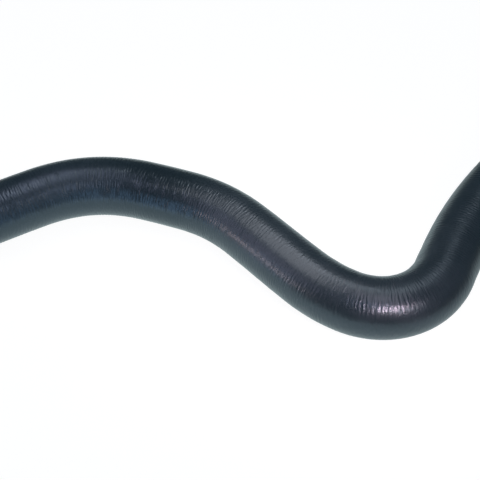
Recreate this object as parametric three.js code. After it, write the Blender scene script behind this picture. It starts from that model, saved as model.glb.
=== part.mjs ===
// A moulded radiator hose: one thick-walled rubber tube that keeps the bends it was cured with.
// Millimetres, +Z up. The hose lies flat on the ground plane, as it comes to rest by itself.
import * as THREE from "three";

// The cross section. The bore fits the neck it is pushed on, and the wall stands around it.
const BORE_DIAMETER = 32;
const WALL = 4.5;
const CUT_EDGE = 0.6; // the knife and the trim leave the cut ends slightly broken

// The run, seen from above, in the order of a tube bender's table. A straight comes before each
// bend. The radius is measured to the middle of the bore, and a turn to the left is positive.
const LONG_END_STRAIGHT = 62; // a clamp seats on its first stretch
const UPPER_STRAIGHT = 29;
const MIDDLE_STRAIGHT = 56;
const ELBOW_END_STRAIGHT = 50; // a clamp seats on its last stretch
const FIRST_BEND_RADIUS = 94;
const SECOND_BEND_RADIUS = 99;
const BACK_BEND_RADIUS = 110;
const ELBOW_RADIUS = 46;
const RISE_RADIUS = 300;
const START_HEADING_DEG = 29;
const RUN = [
  { straight: LONG_END_STRAIGHT, radius: FIRST_BEND_RADIUS, turnDeg: -47.5 },
  { straight: UPPER_STRAIGHT, radius: SECOND_BEND_RADIUS, turnDeg: -29 },
  { straight: MIDDLE_STRAIGHT, radius: BACK_BEND_RADIUS, turnDeg: 18.5 },
  { straight: 0, radius: ELBOW_RADIUS, turnDeg: 98 },
  { straight: 0, radius: RISE_RADIUS, turnDeg: -17.5 },
];

// The raw tube is pushed over a bent mandrel before it cures. The bore takes the mandrel's
// shape, and the wall stretches thin outside each bend and gathers thick inside it.
const WALL_STRETCH = 0.5; // share of the full stretch that stays in the wall
const STRETCH_EASE = 12; // the wall needs this length either side to even out

// How finely the surface is faceted.
const SIDES = 48;
const BEND_STEP_DEG = 6;
const STRAIGHT_STEP = 20;

const BORE_RADIUS = BORE_DIAMETER / 2;
const OUTER_RADIUS = BORE_RADIUS + WALL;
const MIDDLE_RADIUS = BORE_RADIUS + WALL / 2;

// A stretch of the centreline with one curvature: a straight, or an arc of a circle.
class Leg {
  constructor(begins, start, heading, length, curvature) {
    this.begins = begins;
    this.start = start;
    this.heading = heading;
    this.length = length;
    this.curvature = curvature;
  }

  headingAt(distance) {
    return this.heading + this.curvature * distance;
  }

  // The chord of an arc leaves at the mean of the two headings.
  pointAt(distance) {
    const halfTurn = (this.curvature * distance) / 2;
    const chord = halfTurn === 0 ? distance : (distance * Math.sin(halfTurn)) / halfTurn;
    const direction = this.heading + halfTurn;
    const step = new THREE.Vector3(Math.cos(direction), Math.sin(direction), 0);
    return step.multiplyScalar(chord).add(this.start);
  }
}

// The whole centreline: the legs joined end to end, each starting along the one before it.
function hoseLegs() {
  const legs = [];
  let begins = 0;
  let point = new THREE.Vector3();
  let heading = THREE.MathUtils.degToRad(START_HEADING_DEG);
  const add = (length, curvature) => {
    if (length === 0) return;
    const leg = new Leg(begins, point, heading, length, curvature);
    legs.push(leg);
    begins += length;
    point = leg.pointAt(length);
    heading = leg.headingAt(length);
  };
  for (const { straight, radius, turnDeg } of RUN) {
    const turn = THREE.MathUtils.degToRad(turnDeg);
    add(straight, 0);
    add(radius * Math.abs(turn), Math.sign(turn) / radius);
  }
  add(ELBOW_END_STRAIGHT, 0);
  return legs;
}

function hoseLength(legs) {
  return legs.at(-1).begins + legs.at(-1).length;
}

// The bore's centre and the heading at a distance along the hose, held between its two ends.
function placeAt(legs, along) {
  const held = THREE.MathUtils.clamp(along, 0, hoseLength(legs));
  const leg = legs.findLast((candidate) => candidate.begins <= held);
  const distance = held - leg.begins;
  return { point: leg.pointAt(distance), heading: leg.headingAt(distance) };
}

// How far the outer skin's centre moves from the bore's centre, towards the inside of a bend.
function wallShift(legs, along) {
  const before = placeAt(legs, along - STRETCH_EASE).heading;
  const after = placeAt(legs, along + STRETCH_EASE).heading;
  const curvature = (after - before) / (2 * STRETCH_EASE);
  return WALL_STRETCH * WALL * MIDDLE_RADIUS * curvature;
}

// The distances along the hose where a section stands: close together in the bends, wider on
// the straights, and one where each broken edge ends.
function sectionPlaces(legs) {
  const length = hoseLength(legs);
  const places = [CUT_EDGE, length - CUT_EDGE, length];
  for (const leg of legs) {
    const turnDeg = THREE.MathUtils.radToDeg(Math.abs(leg.curvature) * leg.length);
    const steps = Math.ceil(Math.max(turnDeg / BEND_STEP_DEG, leg.length / STRAIGHT_STEP));
    for (let i = 0; i < steps; i++) {
      places.push(leg.begins + (leg.length * i) / steps);
    }
  }
  return places.sort((a, b) => a - b);
}

// One circle of the section, square to the centreline, its centre moved sideways by shift. It
// starts at the bottom, so that the hose rests on a line of its vertices.
function ring({ point, heading }, radius, shift) {
  const side = new THREE.Vector3(-Math.sin(heading), Math.cos(heading), 0);
  const points = [];
  for (let i = 0; i < SIDES; i++) {
    const angle = (2 * Math.PI * i) / SIDES;
    const vertex = point.clone().addScaledVector(side, shift + radius * Math.sin(angle));
    vertex.z -= radius * Math.cos(angle);
    points.push(vertex);
  }
  return points;
}

// Closes a loop of rings into one skin. Each ring joins the next, and the last joins the first.
function closedSkin(rings) {
  const index = [];
  rings.forEach((_, r) => {
    const next = (r + 1) % rings.length;
    for (let i = 0; i < SIDES; i++) {
      const j = (i + 1) % SIDES;
      const [a, b, c, d] = [r * SIDES + i, r * SIDES + j, next * SIDES + j, next * SIDES + i];
      index.push(a, b, c, a, c, d);
    }
  });
  const geometry = new THREE.BufferGeometry().setFromPoints(rings.flat());
  geometry.setIndex(index);
  geometry.computeVertexNormals();
  return geometry;
}

// Out along the outer skin, over the far cut end, back through the bore, and over the near end.
// The first and last rings of each skin stand back from the cut by the broken edge.
function hoseGeometry() {
  const legs = hoseLegs();
  const places = sectionPlaces(legs);
  const broken = (k) => (k === 0 || k === places.length - 1 ? CUT_EDGE : 0);
  const outer = places.map((along, k) =>
    ring(placeAt(legs, along), OUTER_RADIUS - broken(k), wallShift(legs, along)),
  );
  const bore = places.map((along, k) =>
    ring(placeAt(legs, along), BORE_RADIUS + broken(k), 0),
  );
  const geometry = closedSkin([...outer, ...bore.reverse()]);
  geometry.computeBoundingBox();
  const middle = geometry.boundingBox.getCenter(new THREE.Vector3());
  geometry.translate(-middle.x, -middle.y, -geometry.boundingBox.min.z);
  return geometry;
}

const blackRubber = new THREE.MeshStandardMaterial({
  color: 0x2b3036,
  roughness: 0.5,
  metalness: 0,
});

const hose = new THREE.Mesh(hoseGeometry(), blackRubber);
hose.name = "hose";

const radiatorHose = new THREE.Group();
radiatorHose.add(hose);

export default radiatorHose;
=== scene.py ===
import math

import bmesh
import bpy
import numpy as np
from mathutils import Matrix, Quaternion, Vector


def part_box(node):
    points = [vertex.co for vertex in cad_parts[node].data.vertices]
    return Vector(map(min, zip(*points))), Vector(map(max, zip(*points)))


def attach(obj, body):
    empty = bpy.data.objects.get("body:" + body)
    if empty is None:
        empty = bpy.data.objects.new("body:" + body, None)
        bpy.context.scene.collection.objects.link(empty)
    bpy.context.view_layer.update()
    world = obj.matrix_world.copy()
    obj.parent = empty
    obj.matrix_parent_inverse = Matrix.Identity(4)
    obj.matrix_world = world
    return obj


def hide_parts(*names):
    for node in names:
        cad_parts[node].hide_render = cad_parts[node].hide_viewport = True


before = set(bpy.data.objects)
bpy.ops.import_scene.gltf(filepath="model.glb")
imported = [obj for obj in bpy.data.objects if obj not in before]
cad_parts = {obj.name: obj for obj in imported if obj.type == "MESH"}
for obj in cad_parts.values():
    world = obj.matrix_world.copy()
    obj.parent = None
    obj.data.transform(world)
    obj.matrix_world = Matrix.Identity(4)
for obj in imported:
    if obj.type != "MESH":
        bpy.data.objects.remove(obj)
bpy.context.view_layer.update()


# The raw tube is black EPDM rubber, extruded straight with an open bore and cut square at both
# ends. It is turned here from the long section of its wall, whose cut corners are broken, and
# its outside is divided finely enough to carry the skin's own ridges.
MM = 0.001
BORE = 32 * MM
WALL = 4.5 * MM
CUT_EDGE = 0.6 * MM
CUT_EDGE_STEPS = 3
SIDES = 64
CUTS = 10  # each round of cuts divides a line by one more than this
SKIN_ROUNDS = 3
BORE_ROUNDS = 2
ON_SURFACE = CUT_EDGE / 10  # a point as near as this to a surface lies on it
SAME_POINT = CUT_EDGE / 100

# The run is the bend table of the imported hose: a straight, then a bend to the left (+) or to
# the right (-), with its radius measured to the middle of the bore.
START_HEADING = math.radians(29)
RUN = [
    {"straight": 62 * MM, "radius": 94 * MM, "turn": math.radians(-47.5)},
    {"straight": 29 * MM, "radius": 99 * MM, "turn": math.radians(-29)},
    {"straight": 56 * MM, "radius": 110 * MM, "turn": math.radians(18.5)},
    {"straight": 0, "radius": 46 * MM, "turn": math.radians(98)},
    {"straight": 0, "radius": 300 * MM, "turn": math.radians(-17.5)},
]
END_STRAIGHT = 50 * MM

bore_radius = BORE / 2
outer_radius = bore_radius + WALL
leg_lengths, leg_turns = [], []
for bend in RUN:
    leg_lengths += [bend["straight"], bend["radius"] * abs(bend["turn"])]
    leg_turns += [0, bend["turn"]]
leg_ends = np.cumsum([0] + leg_lengths + [END_STRAIGHT])
leg_headings = START_HEADING + np.cumsum([0] + leg_turns + [0])
hose_length = leg_ends[-1]


def select_wall_line(mesh, height):
    """Selects the long edge of the wall's section that lies at this height."""
    section = bmesh.from_edit_mesh(mesh)
    for edge in section.edges:
        off_height = max(abs(vert.co.z - height) for vert in edge.verts)
        edge.select_set(bool(off_height < ON_SURFACE and edge.calc_length() > WALL))
    bmesh.update_edit_mesh(mesh)


bpy.ops.object.select_all(action="DESELECT")
bpy.ops.mesh.primitive_plane_add(
    size=1,
    location=(hose_length / 2, 0, bore_radius + WALL / 2),
    rotation=(math.pi / 2, 0, 0),
)
hose = bpy.context.object
hose.name = hose.data.name = "moulded_hose"
hose.scale = (hose_length, WALL, 1)
bpy.ops.object.transform_apply(location=True, rotation=True, scale=True)

bpy.ops.object.mode_set(mode="EDIT")
bpy.ops.mesh.select_mode(type="VERT")
bpy.ops.mesh.select_all(action="SELECT")
bpy.ops.mesh.bevel(
    offset=CUT_EDGE,
    offset_type="OFFSET",
    segments=CUT_EDGE_STEPS,
    affect="VERTICES",
)
bpy.ops.mesh.select_all(action="SELECT")
bpy.ops.mesh.delete(type="ONLY_FACE")
bpy.ops.mesh.select_mode(type="EDGE")
for wall_height, rounds in ((outer_radius, SKIN_ROUNDS), (bore_radius, BORE_ROUNDS)):
    bpy.ops.mesh.select_all(action="DESELECT")
    select_wall_line(hose.data, wall_height)
    for _ in range(rounds):
        bpy.ops.mesh.subdivide(number_cuts=CUTS)
bpy.ops.mesh.select_all(action="SELECT")
bpy.ops.mesh.spin(steps=SIDES, angle=math.tau, center=(0, 0, 0), axis=(1, 0, 0))
bpy.ops.mesh.select_all(action="SELECT")
bpy.ops.mesh.remove_doubles(threshold=SAME_POINT)
bpy.ops.mesh.normals_make_consistent(inside=False)
bpy.ops.object.mode_set(mode="OBJECT")


# Still straight, the tube says for each point how far along it lies and how far round, from the
# bottom. That is the map that the skin's pattern follows, in metres of rubber, through the bends.
FACE_CORNERS = 4

points = np.empty(len(hose.data.vertices) * 3)
hose.data.vertices.foreach_get("co", points)
along, left, up = points.reshape(-1, 3).T
radius = np.hypot(left, up)
angle = np.arctan2(left, -up)

corner_point = np.empty(len(hose.data.loops), dtype=int)
hose.data.loops.foreach_get("vertex_index", corner_point)
corner_angle = angle[corner_point].reshape(-1, FACE_CORNERS)
crosses_top = np.ptp(corner_angle, axis=1, keepdims=True) > math.pi
corner_angle = np.where(crosses_top & (corner_angle < 0), corner_angle + math.tau, corner_angle)
rubber_map = hose.data.uv_layers.new(name="along_and_round")
corners = np.column_stack([along[corner_point], corner_angle.ravel() * outer_radius])
rubber_map.uv.foreach_set("vector", corners.astype(np.float32).ravel())


# The skin has fine ridges that run a little way round the hose and die out, where it crept on
# the mandrel in the cure. They come in patches. Outside a bend the skin is drawn longer and they
# go flat, and inside it they stand higher.
RIDGE_PITCH = 2.1 * MM
RIDGE_BAND = 0.38  # how far the pitch strays, as a share of it
RIDGE_RUN = 10 * MM
RIDGE_HEIGHT = 0.04 * MM
INNER_RIDGE_HEIGHT = 0.035 * MM  # gained for each share that the skin is pressed shorter
DRAWN_FLAT = 1.8  # share that the ridges lose for each share that the skin is drawn longer
CREST = 2  # the crests keep to the tube's outside, this many heights over its mean
PATCH = 45 * MM
PATCH_CONTRAST = 0.4
FAINTEST_PATCH = 0.5
STRONGEST_PATCH = 1.6
RIDGE_SEED = 206

rings = (CUTS + 1) ** SKIN_ROUNDS + 1
ring_step = (hose_length - 2 * CUT_EDGE) / (rings - 1)
along_waves = np.abs(np.fft.fftfreq(rings, ring_step))[:, None]
round_waves = np.fft.fftfreq(SIDES, math.tau * outer_radius / SIDES)[None, :]
chance = np.random.default_rng(RIDGE_SEED)


def random_field(band):
    """A random pattern over the skin, of unit height, made of the waves that the band keeps."""
    waves = np.fft.fft2(chance.standard_normal((rings, SIDES))) * band
    field = np.fft.ifft2(waves).real
    return field / field.std()


ridges = random_field(
    np.exp(-(((along_waves * RIDGE_PITCH - 1) / RIDGE_BAND) ** 2) - (round_waves * RIDGE_RUN) ** 2)
)
patches = random_field(np.exp(-((along_waves * PATCH) ** 2) - (round_waves * PATCH) ** 2))


# The mandrel bends the tube. The bore takes its shape, and the wall is drawn thin outside each
# bend and gathers thick inside it, easing out on either side. The ridges are cut in from the
# tube's outside, before it bends.
WALL_STRETCH = 0.5  # share of the full stretch that stays in the wall
STRETCH_EASE = 12 * MM
FINE_STEP = 0.1 * MM
SHARPEST_SMOOTH_EDGE = math.radians(50)

steps = np.arange(0, hose_length + FINE_STEP, FINE_STEP)
step_headings = np.interp(steps[:-1] + FINE_STEP / 2, leg_ends, leg_headings)
centre_x = np.concatenate([[0], np.cumsum(np.cos(step_headings) * FINE_STEP)])
centre_y = np.concatenate([[0], np.cumsum(np.sin(step_headings) * FINE_STEP)])


def heading_at(distance):
    """The hose's direction, seen from above, at a distance along it."""
    return np.interp(distance, leg_ends, leg_headings)


curvature = (heading_at(along + STRETCH_EASE) - heading_at(along - STRETCH_EASE)) / (
    2 * STRETCH_EASE
)
wall_share = np.clip((radius - bore_radius) / WALL, 0, 1)
shift = WALL_STRETCH * WALL * (bore_radius + WALL / 2) * curvature * wall_share

ring_number = np.clip(np.rint((along - CUT_EDGE) / ring_step), 0, rings - 1).astype(int)
side_number = np.rint(angle / math.tau * SIDES).astype(int) % SIDES
squeeze = np.clip(curvature * left, 0, None)
stretch = np.clip(-curvature * left, 0, None)
patch = 1 + PATCH_CONTRAST * patches[ring_number, side_number]
ridge_height = RIDGE_HEIGHT * np.clip(1 - DRAWN_FLAT * stretch, 0, 1)
ridge_height *= np.clip(patch, FAINTEST_PATCH, STRONGEST_PATCH)
ridge_height += INNER_RIDGE_HEIGHT * squeeze
below_crest = np.maximum(CREST - ridges[ring_number, side_number], 0)
on_skin = radius > outer_radius - ON_SURFACE
sunk = np.where(on_skin, ridge_height * below_crest, 0)
left = left * (1 - sunk / radius)
up = up * (1 - sunk / radius)

heading = heading_at(along)
bent_x = np.interp(along, steps, centre_x) - np.sin(heading) * (left + shift)
bent_y = np.interp(along, steps, centre_y) + np.cos(heading) * (left + shift)
bent = np.column_stack([bent_x, bent_y, up])

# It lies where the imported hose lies, on the same ground.
low, high = (np.array(corner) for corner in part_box("hose"))
bent += (low + high) / 2 - (bent.min(axis=0) + bent.max(axis=0)) / 2
hose.data.vertices.foreach_set("co", bent.astype(np.float32).ravel())
hose.data.update()
bpy.ops.object.shade_smooth_by_angle(angle=SHARPEST_SMOOTH_EDGE)


# The finish is moulded EPDM, black with carbon and a little blue in the light. It is satin, with
# a faint grey bloom of random tone, so lamps show as soft bands that the fine ridges break into
# streaks. The bloom is left off the first bend, which is glossier there and painted darker, as
# painted shade where its gloss is dark.
RUBBER = "#11191e"
BLOOM = "#2f373d"
COOL_GLOSS = "#dcefff"  # the bloom scatters blue, so the gloss is cool where it faces the eye
RUBBER_IOR = 1.75  # plain rubber has about 1.5, and the carbon at the skin raises it
BARE_ROUGHNESS = 0.28
BLOOM_ROUGHNESS = 0.35
FULL_BLOOM = 0.7  # the clouds' value at which the bloom's roughness is reached
CLOUD_ALONG = 22 * MM
CLOUD_ROUND = 16 * MM
CLOUD_DETAIL = 4
CREASE_ALONG = 1.2 * MM  # finer creases stand between the ridges, too fine for the mesh
CREASE_ROUND = 5 * MM
CREASE_DETAIL = 1
CREASE_DEPTH = 0.27 * MM
# the colour is painted darker round this place, as painted shade, and the rubber is glossier there
PAINTED_SHADE_PLACE = 152 * MM  # along the hose
PAINTED_SHADE_REACH = 60 * MM


def linear(hex_colour):
    """An sRGB hex colour as the linear RGBA that the nodes take."""
    parts = [int(hex_colour[i : i + 2], 16) / 255 for i in (1, 3, 5)]
    return [p / 12.92 if p <= 0.04045 else ((p + 0.055) / 1.055) ** 2.4 for p in parts] + [1]


def add_node(tree, kind, settings=None, inputs=None):
    """Adds a node. An input takes a value, or the output of another node that feeds it."""
    node = tree.nodes.new(kind)
    for name, value in (settings or {}).items():
        setattr(node, name, value)
    for name, value in (inputs or {}).items():
        if isinstance(value, bpy.types.NodeSocket):
            tree.links.new(value, node.inputs[name])
        else:
            node.inputs[name].default_value = value
    return node


rubber = bpy.data.materials.new("satin moulded EPDM rubber")
rubber.use_nodes = True
tree = rubber.node_tree
tree.nodes.clear()
place = add_node(tree, "ShaderNodeUVMap", {"uv_map": "along_and_round"}).outputs["UV"]


def rubber_noise(along_size, round_size, detail):
    """Noise on the skin, whose marks are this long along the hose and this long round it."""
    grid = add_node(
        tree,
        "ShaderNodeMapping",
        inputs={"Vector": place, "Scale": (1 / along_size, 1 / round_size, 1)},
    )
    noise = add_node(
        tree,
        "ShaderNodeTexNoise",
        inputs={"Vector": grid.outputs["Vector"], "Scale": 1, "Detail": detail},
    )
    return noise.outputs["Fac"]


clouds = rubber_noise(CLOUD_ALONG, CLOUD_ROUND, CLOUD_DETAIL)
along_hose = add_node(tree, "ShaderNodeSeparateXYZ", inputs={"Vector": place}).outputs["X"]
# painted shade: the bloom's lighter grey is taken away round the first bend, so its colour is
# painted darker
off_painted_shade = add_node(
    tree,
    "ShaderNodeMath",
    {"operation": "SUBTRACT"},
    {0: along_hose, 1: PAINTED_SHADE_PLACE},
)
off_painted_shade = add_node(
    tree,
    "ShaderNodeMath",
    {"operation": "ABSOLUTE"},
    {0: off_painted_shade.outputs["Value"]},
)
bloom_outside_painted_shade = add_node(
    tree,
    "ShaderNodeMapRange",
    {"interpolation_type": "SMOOTHSTEP"},
    {
        "Value": off_painted_shade.outputs["Value"],
        "From Min": 0,
        "From Max": PAINTED_SHADE_REACH,
        "To Min": 0,
        "To Max": 1,
    },
)
bloom_and_painted_shade = add_node(
    tree,
    "ShaderNodeMath",
    {"operation": "MULTIPLY"},
    {0: clouds, 1: bloom_outside_painted_shade.outputs["Result"]},
).outputs["Value"]
colour = add_node(
    tree,
    "ShaderNodeMixRGB",
    inputs={"Fac": bloom_and_painted_shade, "Color1": linear(RUBBER), "Color2": linear(BLOOM)},
)
roughness = add_node(
    tree,
    "ShaderNodeMapRange",
    inputs={
        "Value": bloom_and_painted_shade,
        "From Min": 0,
        "From Max": FULL_BLOOM,
        "To Min": BARE_ROUGHNESS,
        "To Max": BLOOM_ROUGHNESS,
    },
)
creases = rubber_noise(CREASE_ALONG, CREASE_ROUND, CREASE_DETAIL)
relief = add_node(
    tree,
    "ShaderNodeBump",
    inputs={"Height": creases, "Strength": 1, "Distance": CREASE_DEPTH},
)
skin = add_node(
    tree,
    "ShaderNodeBsdfPrincipled",
    inputs={
        "Base Color": colour.outputs["Color"],
        "Roughness": roughness.outputs["Result"],
        "IOR": RUBBER_IOR,
        "Specular Tint": linear(COOL_GLOSS),
        "Normal": relief.outputs["Normal"],
    },
)
add_node(tree, "ShaderNodeOutputMaterial", inputs={"Surface": skin.outputs["BSDF"]})
hose.data.materials.append(rubber)

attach(hose, "root")
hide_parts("hose")


# The floor is a sheet of white paper, far wider than the view. To the camera it glows white and
# keeps a faint shadow of the hose. In the gloss it glows with a painted pool of light, white and a
# little cool beside the hose, that fades into the dim room.
SHEET_SIZE = 8
PAPER = "#e8ebed"
PAPER_IN_VIEW = "#66696b"
GLOW_IN_VIEW = 0.95
PAPER_IN_GLOSS = "#eafdff"
LIT_GLOSS = 1
DIM_GLOSS = 0.1
LIT_PLACE = (-0.06, -0.03, 0)
LIT_REACH = 0.12  # the painted pool of light in the gloss is full this far around that place
DIM_REACH = 0.45  # and has faded this far from it

bpy.ops.object.select_all(action="DESELECT")
bpy.ops.mesh.primitive_plane_add(size=SHEET_SIZE, location=(0, 0, 0))
floor = bpy.context.object
floor.name = "paper_floor"
paper = bpy.data.materials.new("white paper")
paper.use_nodes = True
tree = paper.node_tree
tree.nodes.clear()
from_lit = add_node(
    tree,
    "ShaderNodeVectorMath",
    {"operation": "DISTANCE"},
    {0: add_node(tree, "ShaderNodeTexCoord").outputs["Object"], 1: LIT_PLACE},
)
painted_gloss_light = add_node(
    tree,
    "ShaderNodeMapRange",
    {"interpolation_type": "SMOOTHSTEP"},
    {
        "Value": from_lit.outputs["Value"],
        "From Min": LIT_REACH,
        "From Max": DIM_REACH,
        "To Min": LIT_GLOSS,
        "To Max": DIM_GLOSS,
    },
)
sight = add_node(tree, "ShaderNodeLightPath").outputs
reflected = add_node(
    tree,
    "ShaderNodeMath",
    {"operation": "MAXIMUM"},
    {0: sight["Is Glossy Ray"], 1: sight["Is Transmission Ray"]},
)
lit_paper = add_node(tree, "ShaderNodeBsdfDiffuse", inputs={"Color": linear(PAPER)})
cool_paper = add_node(
    tree,
    "ShaderNodeEmission",
    inputs={"Color": linear(PAPER_IN_GLOSS), "Strength": painted_gloss_light.outputs["Result"]},
)
faint_paper = add_node(tree, "ShaderNodeBsdfDiffuse", inputs={"Color": linear(PAPER_IN_VIEW)})
glow = add_node(tree, "ShaderNodeEmission", inputs={"Strength": GLOW_IN_VIEW})
white_paper = add_node(
    tree,
    "ShaderNodeAddShader",
    inputs={0: faint_paper.outputs["BSDF"], 1: glow.outputs["Emission"]},
)
sheet = add_node(
    tree,
    "ShaderNodeMixShader",
    inputs={
        "Fac": reflected.outputs["Value"],
        1: lit_paper.outputs["BSDF"],
        2: cool_paper.outputs["Emission"],
    },
)
sheet = add_node(
    tree,
    "ShaderNodeMixShader",
    inputs={
        "Fac": sight["Is Camera Ray"],
        1: sheet.outputs["Shader"],
        2: white_paper.outputs["Shader"],
    },
)
add_node(tree, "ShaderNodeOutputMaterial", inputs={"Surface": sheet.outputs["Shader"]})
floor.data.materials.append(paper)


# The studio around it is dim and cool, but the camera sees it white. Its lamps are rectangular
# softboxes, panels and strips. Some stand far off, and some hang close to the hose, where their
# edges make the light and dark bands of its gloss.
ROOM_IN_VIEW = "#ffffff"
DIM_ROOM = "#bdeaff"
ROOM_LIGHT = 0.175

world = bpy.data.worlds.new("studio")
bpy.context.scene.world = world
world.use_nodes = True
tree = world.node_tree
tree.nodes.clear()
seen = add_node(tree, "ShaderNodeLightPath").outputs["Is Camera Ray"]
strength = add_node(
    tree,
    "ShaderNodeMath",
    {"operation": "MAXIMUM"},
    {0: seen, 1: ROOM_LIGHT},
)
sky_colour = add_node(
    tree,
    "ShaderNodeMixRGB",
    inputs={"Fac": seen, "Color1": linear(DIM_ROOM), "Color2": linear(ROOM_IN_VIEW)},
)
sky = add_node(
    tree,
    "ShaderNodeBackground",
    inputs={"Color": sky_colour.outputs["Color"], "Strength": strength.outputs["Value"]},
)
add_node(tree, "ShaderNodeOutputWorld", inputs={"Surface": sky.outputs["Background"]})


def softbox(name, location, size, radiance, colour, aim=(0, 0, 0), roll=0, spread=180):
    """A rectangular lamp that faces the aim, as bright all over as radiance says."""
    bpy.ops.object.select_all(action="DESELECT")
    bpy.ops.object.light_add(type="AREA", location=location)
    lamp = bpy.context.object
    lamp.name = name
    facing = (Vector(location) - Vector(aim)).to_track_quat("Z", "Y")
    lamp.rotation_euler = (facing @ Quaternion((0, 0, 1), math.radians(roll))).to_euler()
    lamp.data.shape = "RECTANGLE"
    lamp.data.size, lamp.data.size_y = size
    lamp.data.color = linear(colour)[:3]
    lamp.data.spread = math.radians(spread)
    half_spread = lamp.data.spread / 2
    narrowing = 1 - half_spread / math.tan(half_spread)  # a narrow lamp needs less power
    lamp.data.energy = radiance * math.pi * size[0] * size[1] * narrowing
    lamp.visible_camera = False
    return lamp


# Four softboxes stand well away from the hose: a low strip and a large box on its left, one in
# front and one behind. They light it all round and draw the long sheens on its upper side.
softbox(
    "left_strip",
    location=(-1.4, -0.32, 0.24),
    size=(0.4, 0.12),
    radiance=14,
    colour="#ffdcd8",
)
softbox(
    "left_softbox",
    location=(-1.1, -0.1, 0.75),
    size=(0.8, 0.7),
    radiance=0.75,
    colour="#ffe6ff",
)
softbox(
    "front_softbox",
    location=(0.08, -0.8, 1.12),
    size=(0.35, 0.5),
    radiance=2.6,
    colour="#e0e2ff",
)
softbox(
    "back_softbox",
    location=(0.3, 0.5, 1.37),
    size=(0.6, 0.35),
    radiance=2.7,
    colour="#ffffff",
)

# Small panels hang close over the hose: one over its middle, one over its long end and one over
# the elbow. A blue card stands low in front of the first bend.
softbox(
    "middle_strip",
    location=(-0.005, -0.005, 0.13),
    size=(0.113, 0.104),
    radiance=1.95,
    colour="#fff0ed",
    aim=(-0.005, -0.005, 0),
    roll=-50,
)
softbox(
    "long_end_panel",
    location=(-0.148, 0.045, 0.13),
    size=(0.05, 0.085),
    radiance=1.3,
    colour="#ece6ff",
    aim=(-0.148, 0.045, 0),
)
softbox(
    "elbow_panel",
    location=(0.085, -0.085, 0.15),
    size=(0.06, 0.05),
    radiance=2,
    colour="#f4e0e6",
    aim=(0.085, -0.085, 0),
)
softbox(
    "blue_card",
    location=(-0.12, -0.08, 0.055),
    size=(0.032, 0.1),
    radiance=1.6,
    colour="#bcdcff",
    aim=(-0.08, 0.01, 0.05),
)

# Two narrow lamps near the elbow draw its bright highlight, a pinkish core in a paler line.
softbox(
    "warm_strip",
    location=(0.14, -0.216, 0.155),
    size=(0.13, 0.01),
    radiance=19,
    colour="#f4f0f4",
    aim=(0.09, -0.08, 0.034),
    roll=-16,
    spread=80,
)
softbox(
    "warm_core",
    location=(0.128, -0.218, 0.174),
    size=(0.045, 0.012),
    radiance=170,
    colour="#ffd4da",
    aim=(0.09, -0.08, 0.035),
    roll=-14,
    spread=70,
)


# The camera looks down on the hose from the front, through a long lens. Its place and its lens
# were found by matching the hose's two outline edges.
LENS = 87.75
ELEVATION = math.radians(48.53)
LOOK_AT = Vector((-10.637, -11.471, 20.5)) * MM
DISTANCE = 786.77 * MM

back = Vector((0, -math.cos(ELEVATION), math.sin(ELEVATION)))
bpy.ops.object.select_all(action="DESELECT")
bpy.ops.object.camera_add(
    location=LOOK_AT + back * DISTANCE,
    rotation=(math.pi / 2 - ELEVATION, 0, 0),
)
camera = bpy.context.object
camera.data.lens = LENS
bpy.context.scene.camera = camera
bpy.context.scene.view_settings.view_transform = "Standard"
